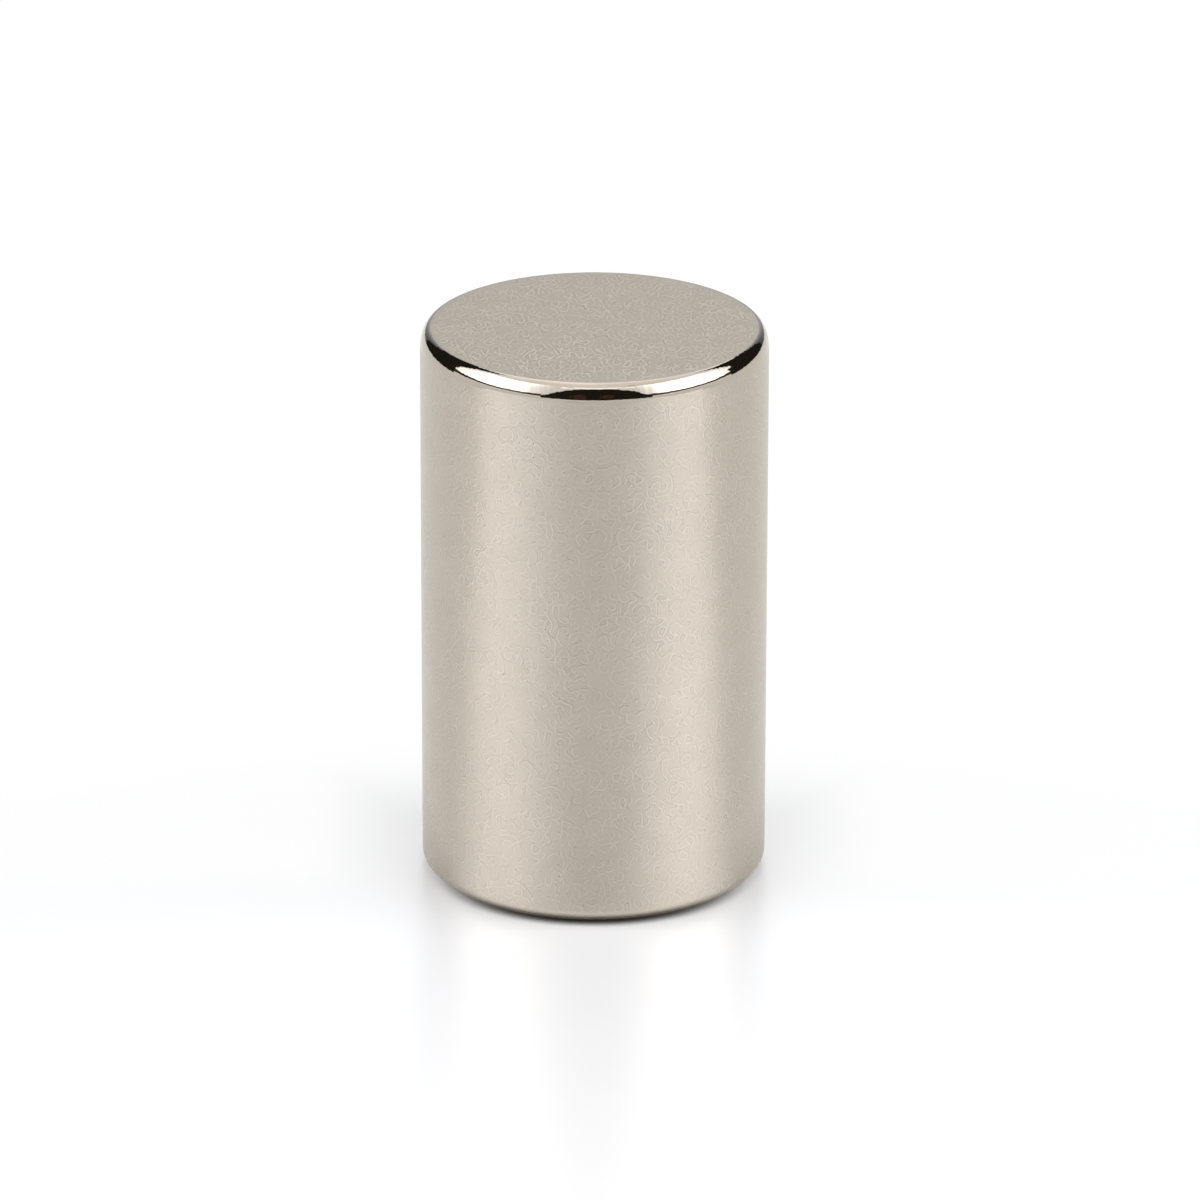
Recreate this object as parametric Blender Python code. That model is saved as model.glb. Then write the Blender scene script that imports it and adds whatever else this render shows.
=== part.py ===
"""Cylinder magnet: one sintered, ground and nickel-plated body that stands on its lower pole face.

The origin is the middle of the lower pole face, +Z is the axis of the body, and all sizes are in metres.
"""

import math

import bmesh
import bpy

# Driving dimensions of the plated body
DIAMETER = 0.0120
LENGTH = 0.0198

# Tumbled edge between the side and the upper pole face, as the two half axes of a quarter ellipse
TOP_EDGE_RADIAL = 0.00036
TOP_EDGE_AXIAL = 0.00062

# Tumbled edge between the side and the lower pole face
BOTTOM_EDGE_RADIAL = 0.00072
BOTTOM_EDGE_AXIAL = 0.00058

# Facets round the axis, and facets across each rounded edge
SEGMENTS = 120
EDGE_STEPS = 8

# Satin nickel plate
NICKEL_COLOUR = (0.54, 0.50, 0.44, 1.0)
NICKEL_ROUGHNESS = 0.35

BODY_NAME = "magnet_body"


def clear_scene():
    for thing in list(bpy.data.objects):
        bpy.data.objects.remove(thing, do_unlink=True)


def quarter_ellipse(centre_radius, centre_z, radial, axial):
    """Points of an edge as (radius, z), from the side of the body to its pole face."""
    points = []
    for step in range(EDGE_STEPS + 1):
        angle = math.pi / 2 * step / EDGE_STEPS
        radius = centre_radius + radial * math.cos(angle)
        z = centre_z + axial * math.sin(angle)
        points.append((radius, z))
    return points


def body_profile():
    """The turned outline as (radius, z), from the rim of the upper pole face down to the rim of the lower one."""
    radius = DIAMETER / 2
    top = quarter_ellipse(radius - TOP_EDGE_RADIAL, LENGTH - TOP_EDGE_AXIAL, TOP_EDGE_RADIAL, TOP_EDGE_AXIAL)
    bottom = quarter_ellipse(
        radius - BOTTOM_EDGE_RADIAL, BOTTOM_EDGE_AXIAL, BOTTOM_EDGE_RADIAL, -BOTTOM_EDGE_AXIAL
    )
    return top[::-1] + bottom


def turned_mesh(name, profile):
    """A closed mesh made by turning the outline about Z. Its two flat ends are single faces."""
    shape = bmesh.new()
    points = [shape.verts.new((radius, 0.0, z)) for radius, z in profile]
    lines = [shape.edges.new(pair) for pair in zip(points, points[1:])]
    bmesh.ops.spin(
        shape,
        geom=points + lines,
        cent=(0.0, 0.0, 0.0),
        axis=(0.0, 0.0, 1.0),
        angle=math.tau,
        steps=SEGMENTS,
        use_merge=True,
    )
    rims = [edge for edge in shape.edges if edge.is_boundary]
    pole_faces = bmesh.ops.holes_fill(shape, edges=rims, sides=0)["faces"]
    bmesh.ops.recalc_face_normals(shape, faces=shape.faces[:])
    for face in shape.faces:
        face.smooth = face not in pole_faces
    mesh = bpy.data.meshes.new(name)
    shape.to_mesh(mesh)
    shape.free()
    return mesh


def nickel_plate():
    material = bpy.data.materials.new("nickel_plate")
    material.use_nodes = True
    shader = material.node_tree.nodes["Principled BSDF"]
    shader.inputs["Base Color"].default_value = NICKEL_COLOUR
    shader.inputs["Metallic"].default_value = 1.0
    shader.inputs["Roughness"].default_value = NICKEL_ROUGHNESS
    return material


def main():
    clear_scene()
    mesh = turned_mesh(BODY_NAME, body_profile())
    mesh.materials.append(nickel_plate())
    body = bpy.data.objects.new(BODY_NAME, mesh)
    bpy.context.scene.collection.objects.link(body)


main()
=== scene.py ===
"""Looks of the cylinder magnet: satin nickel with curly strokes, a polished upper edge, a white studio."""

import math
import random
from typing import NamedTuple

import bmesh
import bpy
from mathutils import Matrix, Vector


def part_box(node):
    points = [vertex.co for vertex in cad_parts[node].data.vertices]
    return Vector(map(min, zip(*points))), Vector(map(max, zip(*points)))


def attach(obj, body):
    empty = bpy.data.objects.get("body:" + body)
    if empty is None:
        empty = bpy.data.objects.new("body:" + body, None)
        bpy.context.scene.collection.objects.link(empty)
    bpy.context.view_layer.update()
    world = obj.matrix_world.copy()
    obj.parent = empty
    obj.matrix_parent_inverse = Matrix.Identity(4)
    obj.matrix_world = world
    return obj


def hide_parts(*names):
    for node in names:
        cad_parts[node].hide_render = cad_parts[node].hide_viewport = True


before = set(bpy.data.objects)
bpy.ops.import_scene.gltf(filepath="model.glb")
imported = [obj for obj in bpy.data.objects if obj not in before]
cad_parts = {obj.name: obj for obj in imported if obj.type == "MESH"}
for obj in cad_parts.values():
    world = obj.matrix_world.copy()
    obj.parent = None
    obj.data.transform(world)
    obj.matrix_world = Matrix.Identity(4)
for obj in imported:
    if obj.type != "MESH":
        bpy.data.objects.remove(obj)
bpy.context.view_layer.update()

# Millimetres in a metre: the plate's material and the lens are in millimetres
MM = 1000.0

# Body, from the frame and from the edge sizes of the solid
NODE = "magnet_body"
LOW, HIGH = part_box(NODE)
RADIUS = (HIGH.x - LOW.x) / 2
MIDDLE = Vector((0.0, 0.0, (LOW.z + HIGH.z) / 2))
TOP_RADIAL = 0.00036
TOP_AXIAL = 0.00062
FOOT_RADIAL = 0.00072
FOOT_AXIAL = 0.00058
TOP_FLAT = RADIUS - TOP_RADIAL
FOOT_FLAT = RADIUS - FOOT_RADIAL

# Faint corner between the side and the upper edge: how steeply the edge starts, and the width of the corner
CORNER_START = math.radians(10)
CORNER_WIDTH = 0.00003

# Mesh resolution
SEGMENTS = 360
EDGE_STEPS = 14
SIDE_ROWS = 60
FACE_RINGS = 24

# Bake map: the side as a strip over the whole width, the two pole faces as discs above it
BAKE_MAP = "OFBake"
BAKE_WIDTH = 0.99
BAKE_STRIP = 0.01
BAKE_TOP_MIDDLE = (0.25, 0.79)
BAKE_FOOT_MIDDLE = (0.75, 0.79)

# Camera of the photo: a very long lens that looks down on the magnet
SENSOR = 0.036
LENS = 0.270
DISTANCE = 0.3126
ELEVATION = math.radians(21.25)
ROLL = math.radians(0.12)
AIM_RIGHT = 0.000206
AIM_UP = -0.00016
CLIP_START = 0.01
CLIP_END = 100.0

# Nickel plate: its colour, paler strokes and darker flanks as painted highlight and shade of the relief, and
# how far clouds change it
NICKEL = (0.495, 0.445, 0.377)
STROKE_PAINTED_HIGHLIGHT = (0.67, 0.615, 0.53, 1.0)
FLANK_PAINTED_SHADE = 0.70
CLOUD_SHADE = 0.025
CLOUD_SCALE = 0.9
CLOUD_NOISE = (0.3, 0.7)

# Roughness of the side, the pole faces and the polished edge, its change near the foot, and its clouds
SATIN_ROUGHNESS = 0.29
FACE_ROUGHNESS = 0.50
POLISHED_ROUGHNESS = 0.05
SMOOTH_CHANGE = -0.05
GLOSS_CLOUDS = (-0.02, 0.02)
GLOSS_CLOUD_SCALE = 2.3

# Where the finish changes, in millimetres: across the rim of the pole face, down from the top and up from
# the foot
ON_RIM = (-0.01, 0.02)
POLISH_ENDS = (0.57, 0.60)
STROKES_BEGIN = (0.60, 0.85)
FOOT_SMOOTH_ENDS = (0.30, 0.60)
RIM_MARGIN = (0.03, 0.22)
WOBBLE = 0.10
WOBBLE_SCALE = 1.4

# Courses of the strokes: for each layer the spacing in millimetres, the seed, and the patch noise at which
# the layer is absent and full. Breaks cut the strokes, and fades thin them out here and there.
STROKE_LAYERS = ((0.44, 11, 0.44, 0.50), (0.37, 29, 0.54, 0.48))
STROKE_WAVES = 7
WAVE_TURN = (-0.3, 0.3)
WAVE_LENGTH = (0.82, 1.18)
LEAST_STEEPNESS = 0.5
PATCH_SCALE = 1.3
BREAK_SCALE = 3.2
BREAK_NOISE = (0.40, 0.54)
BREAK_LEFT = 0.1
FADE_SCALE = 0.8
FADE_NOISE = (0.36, 0.56)
FADE_LEFT = 0.7

# Section of a stroke: half of its width in millimetres, and the flank beside it in half widths from the
# middle of the stroke
STROKE_WIDTH = 0.050
FLANK_RISES = (0.7, 1.2)
FLANK_FALLS = (1.2, 2.2)
WEAK_FLANK = 0.35
FLANK_DEPTH = 0.6

# Pole faces: wider strokes that lie closer across and farther apart along Y than on the side, and whose
# painted highlight and shade grow stronger towards the front
FACE_WIDTH = 0.065
FACE_SCALE = 1.15
FACE_STRETCH = 0.6
FACE_FRONT_TO_BACK = (-4.5, 1.0)
FACE_PAINTED_LIGHT = (0.88, 0.6)

# Strength of the painted highlight on the strokes and of the painted shade on the flanks in the colour of
# the side
WALL_PAINTED_HIGHLIGHT = 0.30
WALL_PAINTED_SHADE = 0.50

# Relief: the height of a stroke in metres, and shares of it
RELIEF_HEIGHT = 0.0000035
FACE_RELIEF = 0.8
GRAIN_HEIGHT = 0.07
GRAIN_SCALE = 14.0
POLISH_WAVES = 1.5
POLISH_WAVE_SCALES = (4.0, 4.0, 1.2)

# Floor: matt with a little gloss near the magnet, a hair below the foot so that no two faces coincide
FLOOR_HALF_WIDTH = 6.0
FLOOR_DROP = 0.00001
FLOOR_MATT = (0.655, 0.655, 0.655, 1.0)
FLOOR_GLOSS = (0.23, 0.23, 0.23, 1.0)
FLOOR_ROUGHNESS = 0.32

# White share of the floor, by metres from the middle: plain white far out, and painted light over the
# magnet's shade behind it and at its sides
WHITE = (1.0, 1.0, 1.0, 1.0)
WHITE_FAR = (0.10, 0.22)
PAINTED_LIGHT_BEHIND = (0.003, 0.015)
BEHIND_SLANT = 0.4
PAINTED_LIGHT_BESIDE = (0.0055, 0.0105)
BESIDE_SHARES = (0.12, 0.9)
BESIDE_FRONT_TO_BACK = (-0.007, 0.0)

# Painted contact shadow: a dark line painted on the floor under the front of the foot
PAINTED_CONTACT_SHADOW = (0.03, 0.015, 0.006, 1.0)
CONTACT_SHADOW_ACROSS = (RADIUS - 0.0005, RADIUS + 0.0002)
CONTACT_SHADOW_ALONG = (-0.95 * RADIUS, -0.3 * RADIUS)
CONTACT_SHADOW_SHARE = 0.95


class Card(NamedTuple):
    """A studio card, as a patch of a sphere round the magnet.

    Azimuths run from the camera's side, positive to its right. The edges are (azimuth, elevation) points in
    degrees, and the shares are (azimuth, share of the light) points. Nearer cards cover farther ones.
    """

    name: str
    low_edge: tuple
    high_edge: tuple
    light: tuple
    distance: float
    shares: tuple = ()


CARD_STEP = 1.5
CARD_ROWS = 10

TOP_LIGHT = (1.25, 1.25, 1.24)
BOX_LIGHT = (3.33, 3.38, 3.52)
UPPER_LIGHT = (1.9, 1.92, 2.0)
DARK = (0.02, 0.017, 0.013)
BROWN = (0.075, 0.038, 0.025)
LINE = (0.09, 0.065, 0.05)
HORIZON = (1.1, 1.1, 1.1)
SEAM = (0.85, 0.72, 0.64)
BACKDROP = (0.52, 0.56, 0.62)

CARDS = (
    # Ceiling of the studio, down to the tops of the flags and of the arch behind the magnet
    Card(
        "overhead",
        (
            (-180, 24), (-172, 33), (-165, 43), (-157, 51), (-148, 56), (-138, 57), (-125, 55), (-112, 50),
            (-97, 45), (97, 45), (112, 46), (128, 50), (138, 49), (148, 46), (157, 41), (165, 34), (172, 28),
            (180, 24),
        ),
        ((-180, 90), (180, 90)),
        TOP_LIGHT,
        0.62,
        ((-180, 1.25), (-165, 1.35), (-140, 1.15), (-97, 1), (97, 0.95), (140, 1), (180, 1.25)),
    ),
    # Large boxes, brightest in their middles, with a dark gap between them on the camera's side. The gap has
    # a dim box above it and two brown patches in it.
    Card(
        "left_box",
        ((-120, 13), (-103, 11), (-95, 8.5), (-75, 6.5), (-50, 6.5), (-38, 9), (0, 9)),
        ((-120, 53), (0, 53)),
        BOX_LIGHT,
        0.60,
        (
            (-120, 0.3), (-105, 0.5), (-92, 0.78), (-76, 0.97), (-60, 0.93), (-48, 0.75), (-40, 0.5),
            (-30, 0.35), (0, 0.35),
        ),
    ),
    Card(
        "right_box",
        ((0, 9), (37, 9), (45, 7.5), (60, 6.5), (85, 6.5), (97, 9), (115, 12)),
        ((0, 53), (115, 53)),
        BOX_LIGHT,
        0.60,
        (
            (0, 0.35), (30, 0.35), (40, 0.6), (50, 0.93), (62, 1.04), (76, 1.03), (92, 0.78), (105, 0.5),
            (115, 0.3),
        ),
    ),
    Card(
        "camera_gap",
        ((-34, -1), (37, -1)),
        (
            (-34, 3), (-30, 11), (-26, 20), (-20, 30), (-15, 38), (-10, 43.5), (16, 43.5), (18, 37),
            (22.5, 32), (27.5, 24), (31, 14), (37, 3),
        ),
        DARK,
        0.58,
    ),
    Card("upper_box", ((-27, 43), (30, 43)), ((-27, 54), (30, 54)), UPPER_LIGHT, 0.59),
    Card("left_brown", ((-15, 3), (-4, 3)), ((-15, 12), (-9, 17), (-4, 12)), BROWN, 0.57),
    Card("right_brown", ((4, 5), (11, 5)), ((4, 13), (8, 17), (11, 13)), BROWN, 0.57),
    # Dark flags between the boxes and the backdrop
    Card(
        "left_flag",
        ((-147, -1), (-103, -1)),
        ((-147, 60), (-125, 58), (-118, 50), (-111, 44), (-106, 37), (-103, 24)),
        DARK,
        0.59,
    ),
    Card(
        "right_flag",
        ((99, -1), (144, -1)),
        ((99, 18), (105, 22), (108, 32), (112, 40), (118, 46), (128, 52), (144, 55)),
        DARK,
        0.59,
    ),
    # Backdrop behind the magnet, with a dark arch round it
    Card(
        "backdrop",
        ((142, -1), (222, -1)),
        (
            (142, 6), (146, 14), (150, 22), (156, 28), (165, 30), (180, 24), (188, 28), (195, 30),
            (202, 30.5), (208, 29), (213, 25), (218, 16), (222, 6),
        ),
        BACKDROP,
        0.60,
        ((142, 0.1), (150, 0.32), (158, 0.52), (170, 1), (190, 1), (202, 0.52), (210, 0.32), (222, 0.1)),
    ),
    Card("back_arch", ((140, -1), (224, -1)), ((140, 58), (224, 58)), DARK, 0.64),
    # Dark lines and light horizons under the boxes, and seams along their tops
    Card("left_line", ((-104, 2.5), (-33, 2.5)), ((-104, 14), (-33, 12)), LINE, 0.615),
    Card("right_line", ((35, 2.5), (100, 2.5)), ((35, 12), (100, 12)), LINE, 0.615),
    Card("left_horizon", ((-104, -1), (-33, -1)), ((-104, 2.5), (-33, 2.5)), HORIZON, 0.615),
    Card("right_horizon", ((35, -1), (100, -1)), ((35, 2.5), (100, 2.5)), HORIZON, 0.615),
    Card(
        "left_seam",
        ((-60, 64), (-34, 65), (-24, 55), (-14, 43)),
        ((-60, 66), (-34, 68), (-24, 58), (-14, 46)),
        SEAM,
        0.57,
    ),
    Card(
        "right_seam",
        ((17, 43), (28, 52), (40, 63), (70, 62)),
        ((17, 46), (28, 55), (40, 66), (70, 64)),
        SEAM,
        0.57,
    ),
)


class Nodes:
    """Builds a node tree. Values given to its methods are sockets to link or plain values to set."""

    def __init__(self, tree):
        self.tree = tree
        self.tree.nodes.clear()

    def add(self, kind, inputs=(), **settings):
        node = self.tree.nodes.new(kind)
        for name, value in settings.items():
            setattr(node, name, value)
        for name, value in dict(inputs).items():
            self.set(node.inputs[name], value)
        return node

    def set(self, socket, value):
        if isinstance(value, bpy.types.NodeSocket):
            self.tree.links.new(value, socket)
        else:
            socket.default_value = value

    def math(self, operation, *values):
        node = self.add("ShaderNodeMath", operation=operation)
        for socket, value in zip(node.inputs, values):
            self.set(socket, value)
        return node.outputs[0]

    def vector(self, operation, *values, output="Vector"):
        """Vector math. Its output is Value for a length or a dot product."""
        node = self.add("ShaderNodeVectorMath", operation=operation)
        for socket, value in zip(node.inputs, values):
            self.set(socket, value)
        return node.outputs[output]

    def span(self, value, low, high, to_low=0.0, to_high=1.0, kind="SMOOTHSTEP"):
        """Value mapped from low..high to to_low..to_high, held at the ends."""
        node = self.add(
            "ShaderNodeMapRange",
            {"Value": value, "From Min": low, "From Max": high, "To Min": to_low, "To Max": to_high},
            interpolation_type=kind,
        )
        return node.outputs["Result"]

    def noise(self, vector, scale, detail=2.0):
        node = self.add("ShaderNodeTexNoise", {"Vector": vector, "Scale": scale, "Detail": detail})
        return node.outputs["Fac"]

    def blend(self, kind, factor, a, b):
        """Mix of two colours (RGBA), vectors (VECTOR) or numbers (FLOAT)."""
        node = self.add("ShaderNodeMix", data_type=kind)
        shown = [socket for socket in node.inputs if socket.enabled]
        for socket, value in zip(shown, (factor, a, b)):
            self.set(socket, value)
        return [socket for socket in node.outputs if socket.enabled][0]


def new_material(name):
    """A material with an empty node tree, and the builder for that tree."""
    material = bpy.data.materials.new(name)
    material.use_nodes = True
    return material, Nodes(material.node_tree)


def edge_points(flat_radius, side_z, radial, axial, start):
    """An edge as (radius, z), from the side of the body to its pole face.

    It is a quarter ellipse without its first part, up to the angle start. With a start above zero it meets
    the side at a faint corner.
    """
    points = []
    for step in range(EDGE_STEPS + 1):
        angle = start + (math.pi / 2 - start) * step / EDGE_STEPS
        across = math.cos(angle) / math.cos(start)
        along = (math.sin(angle) - math.sin(start)) / (1 - math.sin(start))
        points.append((flat_radius + radial * across, side_z + axial * along))
    return points


def body_rings():
    """Rings as (radius, z) from near the middle of the top, down the side, to near that of the foot."""
    side_top = HIGH.z - TOP_AXIAL
    side_foot = LOW.z + FOOT_AXIAL
    top = [(TOP_FLAT * ring / FACE_RINGS, HIGH.z) for ring in range(1, FACE_RINGS)]
    top += edge_points(TOP_FLAT, side_top, TOP_RADIAL, TOP_AXIAL, CORNER_START)[::-1]
    side = [(RADIUS, side_top - CORNER_WIDTH)]
    side += [(RADIUS, side_top + (side_foot - side_top) * row / SIDE_ROWS) for row in range(1, SIDE_ROWS)]
    foot = edge_points(FOOT_FLAT, side_foot, FOOT_RADIAL, -FOOT_AXIAL, 0.0)
    foot += [(FOOT_FLAT * ring / FACE_RINGS, LOW.z) for ring in range(FACE_RINGS - 1, 0, -1)]
    return top + side + foot


def bake_place(corner, face_middle):
    """Where a corner of a face lies on the bake map. The rounded edges widen the strip of the side."""
    scale = BAKE_WIDTH / (math.tau * RADIUS)
    upper = face_middle.z > MIDDLE.z
    if face_middle.xy.length < (TOP_FLAT if upper else FOOT_FLAT):
        middle = BAKE_TOP_MIDDLE if upper else BAKE_FOOT_MIDDLE
        return middle[0] + corner.x * scale, middle[1] + corner.y * scale
    middle_turn = math.atan2(face_middle.y, face_middle.x)
    turn = math.atan2(corner.y, corner.x)
    turn += math.tau * round((middle_turn - turn) / math.tau)
    inward = RADIUS - corner.xy.length
    up = corner.z - LOW.z + FOOT_RADIAL + (inward if upper else -inward)
    return (1 - BAKE_WIDTH) / 2 + (turn / math.tau + 0.5) * BAKE_WIDTH, BAKE_STRIP + up * scale


def body_mesh(name):
    """The turned body as a closed mesh of quads, with a fan of triangles at the middle of each pole face."""
    shape = bmesh.new()
    turns = [math.tau * step / SEGMENTS for step in range(SEGMENTS)]
    rings = [
        [shape.verts.new((radius * math.cos(turn), radius * math.sin(turn), z)) for turn in turns]
        for radius, z in body_rings()
    ]
    for upper, lower in zip(rings, rings[1:]):
        for i in range(SEGMENTS):
            j = (i + 1) % SEGMENTS
            shape.faces.new((upper[i], lower[i], lower[j], upper[j]))
    for ring, z, order in ((rings[0], HIGH.z, 1), (rings[-1], LOW.z, -1)):
        centre = shape.verts.new((0.0, 0.0, z))
        for i in range(SEGMENTS):
            corners = (centre, ring[i], ring[(i + 1) % SEGMENTS])
            shape.faces.new(corners[::order])
    bmesh.ops.recalc_face_normals(shape, faces=shape.faces[:])
    bake = shape.loops.layers.uv.new(BAKE_MAP)
    for face in shape.faces:
        middle = face.calc_center_median()
        for loop in face.loops:
            loop[bake].uv = bake_place(loop.vert.co, middle)
    mesh = bpy.data.meshes.new(name)
    shape.to_mesh(mesh)
    shape.free()
    mesh.shade_smooth()
    return mesh


class Place:
    """Where a point of the plate lies, as sockets in millimetres."""

    def __init__(self, nodes):
        coordinates = nodes.add("ShaderNodeTexCoord").outputs["Object"]
        self.point = nodes.vector("MULTIPLY", coordinates, (MM, MM, MM))
        self.x, self.y, self.z = nodes.add("ShaderNodeSeparateXYZ", {"Vector": self.point}).outputs
        across = nodes.math("MULTIPLY", self.x, self.x)
        along = nodes.math("MULTIPLY", self.y, self.y)
        radius = nodes.math("SQRT", nodes.math("ADD", across, along))
        self.from_rim = nodes.math("SUBTRACT", radius, TOP_FLAT * MM)
        self.on_side = nodes.math("GREATER_THAN", radius, (RADIUS - TOP_RADIAL / 2) * MM)
        wobble = nodes.math("SUBTRACT", nodes.noise(self.point, WOBBLE_SCALE), 0.5)
        wobble = nodes.math("MULTIPLY", wobble, WOBBLE)
        self.below_top = nodes.math("ADD", nodes.math("SUBTRACT", HIGH.z * MM, self.z), wobble)
        self.above_foot = nodes.math("ADD", nodes.math("SUBTRACT", self.z, LOW.z * MM), wobble)

    def laid_flat(self, nodes):
        """The side unrolled and the pole faces as they are, for the courses of the strokes."""
        turn = nodes.math("ARCTAN2", self.x, nodes.math("MULTIPLY", self.y, -1.0))
        round_wall = nodes.math("MULTIPLY", turn, RADIUS * MM)
        wall = nodes.add("ShaderNodeCombineXYZ", {"X": round_wall, "Y": self.z})
        across = nodes.math("MULTIPLY", self.x, FACE_SCALE)
        along = nodes.math("MULTIPLY", self.y, FACE_SCALE * FACE_STRETCH)
        face = nodes.add("ShaderNodeCombineXYZ", {"X": across, "Y": along})
        return nodes.blend("VECTOR", self.on_side, face.outputs[0], wall.outputs[0])


def shade(factor):
    """The nickel colour made lighter or darker."""
    return tuple(c * factor for c in NICKEL) + (1.0,)


def stroke_distance(nodes, flat, spacing, seed):
    """Distance in millimetres from the nearest of evenly spaced curly lines, below zero on one side of it.

    The lines are the zero lines of a sum of plane waves in all directions. Waves across the wall fit a whole
    number of times round it, so the lines have no seam.
    """
    chance = random.Random(seed)
    total, slope = 0.0, (0.0, 0.0, 0.0)
    for i in range(STROKE_WAVES):
        angle = math.pi * (i + chance.uniform(*WAVE_TURN)) / STROKE_WAVES
        length = math.tau / spacing * chance.uniform(*WAVE_LENGTH)
        across = round(length * math.cos(angle) * RADIUS * MM) / (RADIUS * MM)
        way = (across, length * math.sin(angle), 0.0)
        along = nodes.vector("DOT_PRODUCT", flat, way, output="Value")
        phase = nodes.math("ADD", along, chance.uniform(0.0, math.tau))
        total = nodes.math("ADD", nodes.math("COSINE", phase), total)
        slope = nodes.vector("MULTIPLY_ADD", way, nodes.math("SINE", phase), slope)
    steepness = nodes.vector("LENGTH", slope, output="Value")
    steepness = nodes.math("MAXIMUM", steepness, LEAST_STEEPNESS * math.tau / spacing)
    return nodes.math("DIVIDE", total, steepness)


def strokes(nodes, place, smooth):
    """The curly strokes and the flanks beside them, each from 0 to 1. One flank of a stroke is weaker."""
    flat = place.laid_flat(nodes)
    patch = nodes.noise(place.point, PATCH_SCALE, detail=1.0)
    width = nodes.blend("FLOAT", place.on_side, FACE_WIDTH, STROKE_WIDTH)
    ridges, flanks = 0.0, 0.0
    for spacing, seed, patch_low, patch_high in STROKE_LAYERS:
        off = nodes.math("DIVIDE", stroke_distance(nodes, flat, spacing, seed), width)
        away = nodes.math("ABSOLUTE", off)
        elsewhere = nodes.vector("ADD", place.point, (seed, 0.0, 0.0))
        breaks = nodes.span(nodes.noise(elsewhere, BREAK_SCALE, detail=1.0), *BREAK_NOISE, BREAK_LEFT, 1.0)
        here = nodes.math("MULTIPLY", nodes.span(patch, patch_low, patch_high), breaks)
        ridge = nodes.span(away, 0.0, 1.0, 1.0, 0.0)
        flank = nodes.span(away, *FLANK_RISES)
        flank = nodes.math("MULTIPLY", flank, nodes.span(away, *FLANK_FALLS, 1.0, 0.0))
        # One flank is weaker: a shallower groove in the relief, and lighter painted shade in the colour
        flank = nodes.math("MULTIPLY", flank, nodes.span(off, -1.0, 1.0, WEAK_FLANK, 1.0))
        ridges = nodes.math("MAXIMUM", ridges, nodes.math("MULTIPLY", ridge, here))
        flanks = nodes.math("MAXIMUM", flanks, nodes.math("MULTIPLY", flank, here))
    rim_gap = nodes.math("ABSOLUTE", place.from_rim)
    rough = nodes.math("MULTIPLY", nodes.math("SUBTRACT", 1.0, smooth), nodes.span(rim_gap, *RIM_MARGIN))
    fade = nodes.span(nodes.noise(place.point, FADE_SCALE, detail=0.0), *FADE_NOISE, FADE_LEFT, 1.0)
    kept = nodes.math("MULTIPLY", fade, rough)
    down_side = nodes.span(place.below_top, *STROKES_BEGIN)
    kept = nodes.math("MULTIPLY", kept, nodes.blend("FLOAT", place.on_side, 1.0, down_side))
    return nodes.math("MULTIPLY", ridges, kept), nodes.math("MULTIPLY", flanks, kept)


def plate_normal(nodes, place, ridges, flanks, polished):
    """Strokes and a fine grain, with long soft waves on the polished edge."""
    unpolished = nodes.math("SUBTRACT", 1.0, polished)
    grain = nodes.math("MULTIPLY", nodes.noise(place.point, GRAIN_SCALE), unpolished)
    drawn_out = nodes.vector("MULTIPLY", place.point, POLISH_WAVE_SCALES)
    waves = nodes.math("MULTIPLY", nodes.noise(drawn_out, 1.0, detail=1.0), polished)
    height = nodes.math("SUBTRACT", ridges, nodes.math("MULTIPLY", flanks, FLANK_DEPTH))
    height = nodes.math("ADD", height, nodes.math("MULTIPLY", grain, GRAIN_HEIGHT))
    height = nodes.math("MULTIPLY", height, nodes.blend("FLOAT", place.on_side, FACE_RELIEF, 1.0))
    height = nodes.math("ADD", height, nodes.math("MULTIPLY", waves, POLISH_WAVES))
    bump = nodes.add("ShaderNodeBump", {"Height": height, "Distance": RELIEF_HEIGHT, "Strength": 1.0})
    return bump.outputs["Normal"]


def plate_colour(nodes, place, ridges, flanks):
    """Nickel in soft clouds, with painted highlight on the strokes and painted shade on the flanks beside
    them.
    """
    clouds = nodes.span(nodes.noise(place.point, CLOUD_SCALE, detail=3.0), *CLOUD_NOISE, kind="LINEAR")
    colour = nodes.blend("RGBA", clouds, shade(1 - CLOUD_SHADE), shade(1 + CLOUD_SHADE))
    # Painted highlight on the strokes and painted shade beside them, stronger towards the front of the pole
    # faces
    on_face = nodes.span(place.y, *FACE_FRONT_TO_BACK, *FACE_PAINTED_LIGHT)
    painted_shade = nodes.math("MULTIPLY", flanks, nodes.blend("FLOAT", place.on_side, on_face, WALL_PAINTED_SHADE))
    painted_highlight = nodes.math("MULTIPLY", ridges, nodes.blend("FLOAT", place.on_side, on_face, WALL_PAINTED_HIGHLIGHT))
    colour = nodes.blend("RGBA", painted_shade, colour, shade(FLANK_PAINTED_SHADE))
    return nodes.blend("RGBA", painted_highlight, colour, STROKE_PAINTED_HIGHLIGHT)


def plate_roughness(nodes, place, smooth, polished):
    """Satin in soft clouds, rougher on the pole faces, smoother near the foot, low on the polished edge."""
    clouds = nodes.noise(place.point, GLOSS_CLOUD_SCALE, detail=3.0)
    clouds = nodes.span(clouds, *CLOUD_NOISE, *GLOSS_CLOUDS, "LINEAR")
    satin = nodes.math("ADD", clouds, nodes.blend("FLOAT", place.on_side, FACE_ROUGHNESS, SATIN_ROUGHNESS))
    satin = nodes.math("ADD", satin, nodes.math("MULTIPLY", smooth, SMOOTH_CHANGE))
    return nodes.blend("FLOAT", polished, satin, POLISHED_ROUGHNESS)


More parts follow.
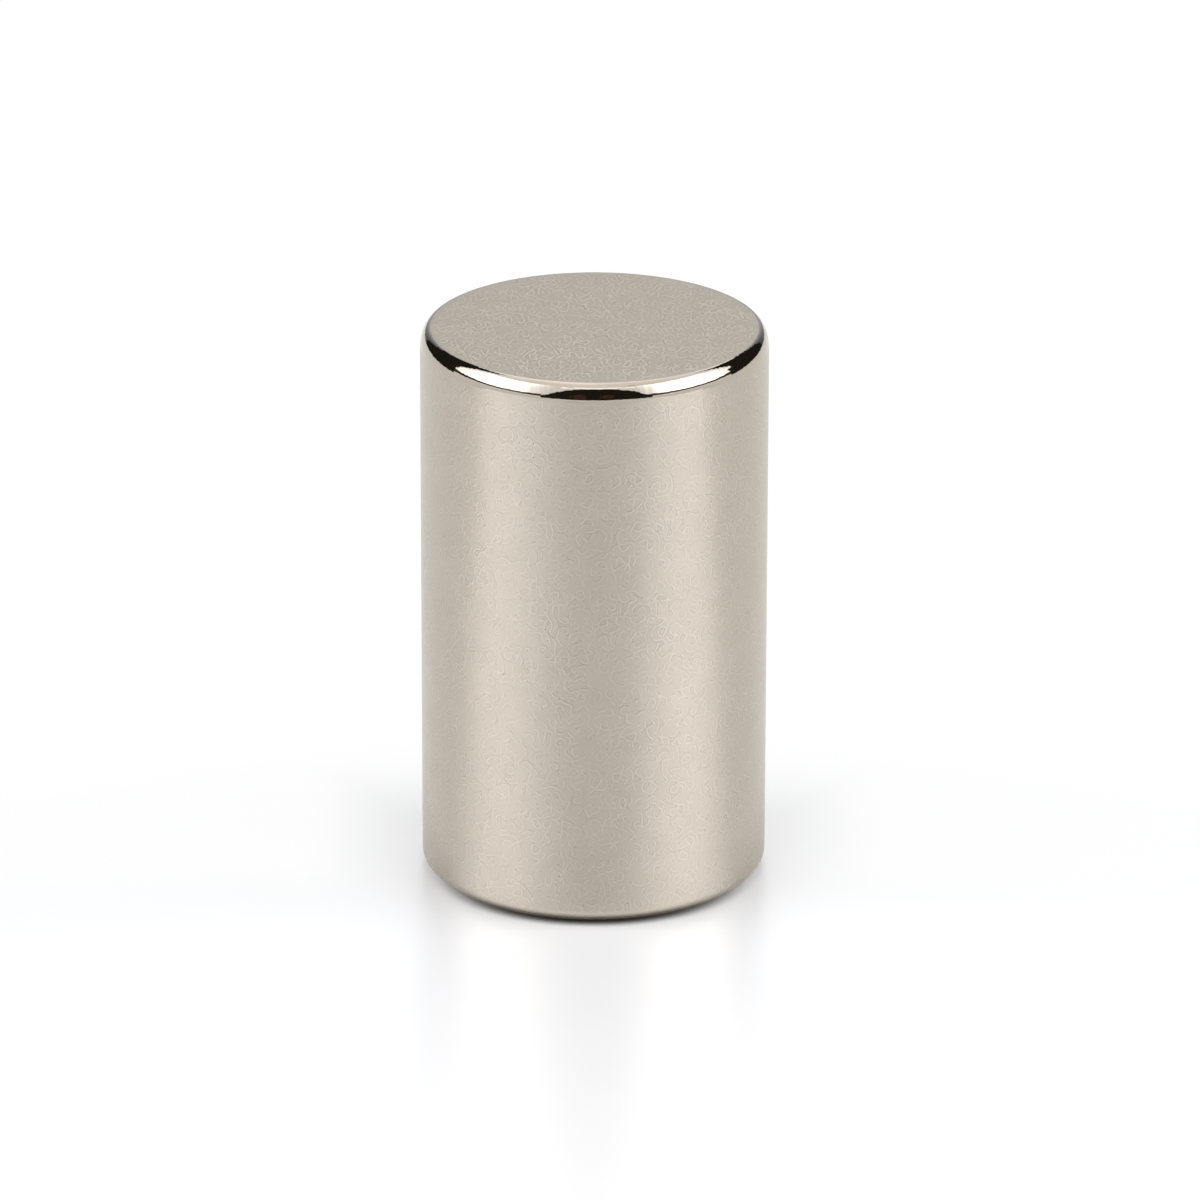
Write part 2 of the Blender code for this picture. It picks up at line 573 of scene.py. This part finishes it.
def nickel_material():
    """Satin nickel with curly strokes, smooth near the foot and polished on the upper edge."""
    material, nodes = new_material("satin_nickel")
    place = Place(nodes)
    above_side = nodes.span(place.below_top, *POLISH_ENDS, 1.0, 0.0)
    polished = nodes.math("MULTIPLY", nodes.span(place.from_rim, *ON_RIM), above_side)
    near_foot = nodes.span(place.above_foot, *FOOT_SMOOTH_ENDS, 1.0, 0.0)
    smooth = nodes.math("MAXIMUM", polished, near_foot)
    ridges, flanks = strokes(nodes, place, smooth)
    looks = {
        "Base Color": plate_colour(nodes, place, ridges, flanks),
        "Metallic": 1.0,
        "Roughness": plate_roughness(nodes, place, smooth, polished),
        "Normal": plate_normal(nodes, place, ridges, flanks, polished),
    }
    shader = nodes.add("ShaderNodeBsdfPrincipled", looks)
    nodes.add("ShaderNodeOutputMaterial", {"Surface": shader.outputs[0]})
    return material


def add_magnet():
    mesh = body_mesh("magnet")
    mesh.materials.append(nickel_material())
    magnet = bpy.data.objects.new("magnet", mesh)
    bpy.context.scene.collection.objects.link(magnet)
    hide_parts(NODE)
    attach(magnet, "root")


def add_camera():
    back = Vector((0.0, -math.cos(ELEVATION), math.sin(ELEVATION)))
    right = Vector((1.0, 0.0, 0.0))
    up = back.cross(right)
    place = MIDDLE + back * DISTANCE
    aim = MIDDLE + right * AIM_RIGHT + up * AIM_UP
    data = bpy.data.cameras.new("camera")
    data.sensor_width = SENSOR * MM
    data.lens = LENS * MM
    data.clip_start = CLIP_START
    data.clip_end = CLIP_END
    camera = bpy.data.objects.new("camera", data)
    bpy.context.scene.collection.objects.link(camera)
    turn = (aim - place).to_track_quat("-Z", "Y").to_matrix().to_4x4()
    camera.matrix_world = Matrix.Translation(place) @ turn @ Matrix.Rotation(ROLL, 4, "Z")
    bpy.context.scene.camera = camera


def light_material(name, light, varied):
    """A glow of this light, times the card's own share at each point if the light changes over the card."""
    material, nodes = new_material(name)
    strength = max(light)
    colour = tuple(c / strength for c in light) + (1.0,)
    glow = nodes.add("ShaderNodeEmission", {"Color": colour, "Strength": strength})
    if varied:
        share = nodes.add("ShaderNodeAttribute", attribute_name="share").outputs["Fac"]
        nodes.set(glow.inputs["Strength"], nodes.math("MULTIPLY", share, strength))
    nodes.add("ShaderNodeOutputMaterial", {"Surface": glow.outputs[0]})
    return material


def at_azimuth(points, azimuth):
    """The value at an azimuth, between the (azimuth, value) points given."""
    for (a0, v0), (a1, v1) in zip(points, points[1:]):
        if a0 <= azimuth <= a1:
            return v0 + (v1 - v0) * (azimuth - a0) / (a1 - a0)
    return points[-1][1]


def add_card(card):
    """A glowing card, hidden from the camera."""
    first, last = card.low_edge[0][0], card.low_edge[-1][0]
    steps = max(2, round((last - first) / CARD_STEP))
    shape = bmesh.new()
    columns = []
    values = []
    for i in range(steps + 1):
        azimuth = first + (last - first) * i / steps
        low, high = at_azimuth(card.low_edge, azimuth), at_azimuth(card.high_edge, azimuth)
        turn = math.radians(azimuth)
        column = []
        for j in range(CARD_ROWS + 1):
            rise = math.radians(low + (high - low) * j / CARD_ROWS)
            across, along = math.sin(turn) * math.cos(rise), -math.cos(turn) * math.cos(rise)
            way = Vector((across, along, math.sin(rise)))
            column.append(shape.verts.new(MIDDLE + way * card.distance))
            values.append(at_azimuth(card.shares, azimuth) if card.shares else 1.0)
        columns.append(column)
    for left, right in zip(columns, columns[1:]):
        for j in range(CARD_ROWS):
            shape.faces.new((left[j], right[j], right[j + 1], left[j + 1]))
    mesh = bpy.data.meshes.new(card.name)
    shape.to_mesh(mesh)
    shape.free()
    mesh.attributes.new("share", "FLOAT", "POINT").data.foreach_set("value", values)
    mesh.materials.append(light_material(card.name, card.light, bool(card.shares)))
    patch = bpy.data.objects.new(card.name, mesh)
    bpy.context.scene.collection.objects.link(patch)
    patch.visible_camera = False


def floor_material():
    """Matt white with a little gloss, a painted contact shadow under the front of the foot, plain white far
    out, and painted light over the shade beside and behind the magnet.
    """
    material, nodes = new_material("floor")
    place = nodes.add("ShaderNodeTexCoord").outputs["Object"]
    distance = nodes.vector("LENGTH", place, output="Value")
    x, y = nodes.add("ShaderNodeSeparateXYZ", {"Vector": place}).outputs[:2]
    # Painted contact shadow: the matt and gloss colours turn dark under the front of the foot
    under = nodes.span(distance, *CONTACT_SHADOW_ACROSS, 1.0, 0.0)
    front = nodes.span(y, *CONTACT_SHADOW_ALONG, CONTACT_SHADOW_SHARE, 0.0)
    outside_contact_shadow = nodes.math("SUBTRACT", 1.0, nodes.math("MULTIPLY", under, front))
    matt_colour = nodes.blend("RGBA", outside_contact_shadow, PAINTED_CONTACT_SHADOW, FLOOR_MATT)
    gloss_colour = nodes.blend("RGBA", outside_contact_shadow, PAINTED_CONTACT_SHADOW, FLOOR_GLOSS)
    matt = nodes.add("ShaderNodeBsdfDiffuse", {"Color": matt_colour})
    gloss = nodes.add("ShaderNodeBsdfGlossy", {"Color": gloss_colour, "Roughness": FLOOR_ROUGHNESS})
    near = nodes.add("ShaderNodeAddShader")
    nodes.set(near.inputs[0], matt.outputs[0])
    nodes.set(near.inputs[1], gloss.outputs[0])
    white = nodes.add("ShaderNodeEmission", {"Color": WHITE, "Strength": 1.0})

    # Painted light: behind and beside the magnet the floor glows white over the magnet's shade
    to_side = nodes.math("ABSOLUTE", x)
    behind = nodes.math("ADD", y, nodes.math("MULTIPLY", to_side, BEHIND_SLANT))
    beside = nodes.span(to_side, *PAINTED_LIGHT_BESIDE, *BESIDE_SHARES)
    beside = nodes.math("MULTIPLY", beside, nodes.span(y, *BESIDE_FRONT_TO_BACK))
    share = nodes.math("MAXIMUM", nodes.span(distance, *WHITE_FAR), nodes.span(behind, *PAINTED_LIGHT_BEHIND))
    surface = nodes.add("ShaderNodeMixShader")
    nodes.set(surface.inputs[0], nodes.math("MAXIMUM", share, beside))
    nodes.set(surface.inputs[1], near.outputs[0])
    nodes.set(surface.inputs[2], white.outputs[0])
    nodes.add("ShaderNodeOutputMaterial", {"Surface": surface.outputs[0]})
    return material


def add_floor():
    corners = [(-1, -1), (1, -1), (1, 1), (-1, 1)]
    points = [(x * FLOOR_HALF_WIDTH, y * FLOOR_HALF_WIDTH, 0.0) for x, y in corners]
    mesh = bpy.data.meshes.new("floor")
    mesh.from_pydata(points, [], [(0, 1, 2, 3)])
    mesh.materials.append(floor_material())
    floor = bpy.data.objects.new("floor", mesh)
    floor.location.z = LOW.z - FLOOR_DROP
    bpy.context.scene.collection.objects.link(floor)


def set_world():
    world = bpy.data.worlds.new("studio")
    bpy.context.scene.world = world
    world.use_nodes = True
    nodes = Nodes(world.node_tree)
    background = nodes.add("ShaderNodeBackground", {"Color": WHITE, "Strength": 1.0})
    nodes.add("ShaderNodeOutputWorld", {"Surface": background.outputs[0]})
    world.cycles.sampling_method = "NONE"


bpy.context.scene.view_settings.view_transform = "Standard"
add_magnet()
add_camera()
add_floor()
for card in CARDS:
    add_card(card)
set_world()
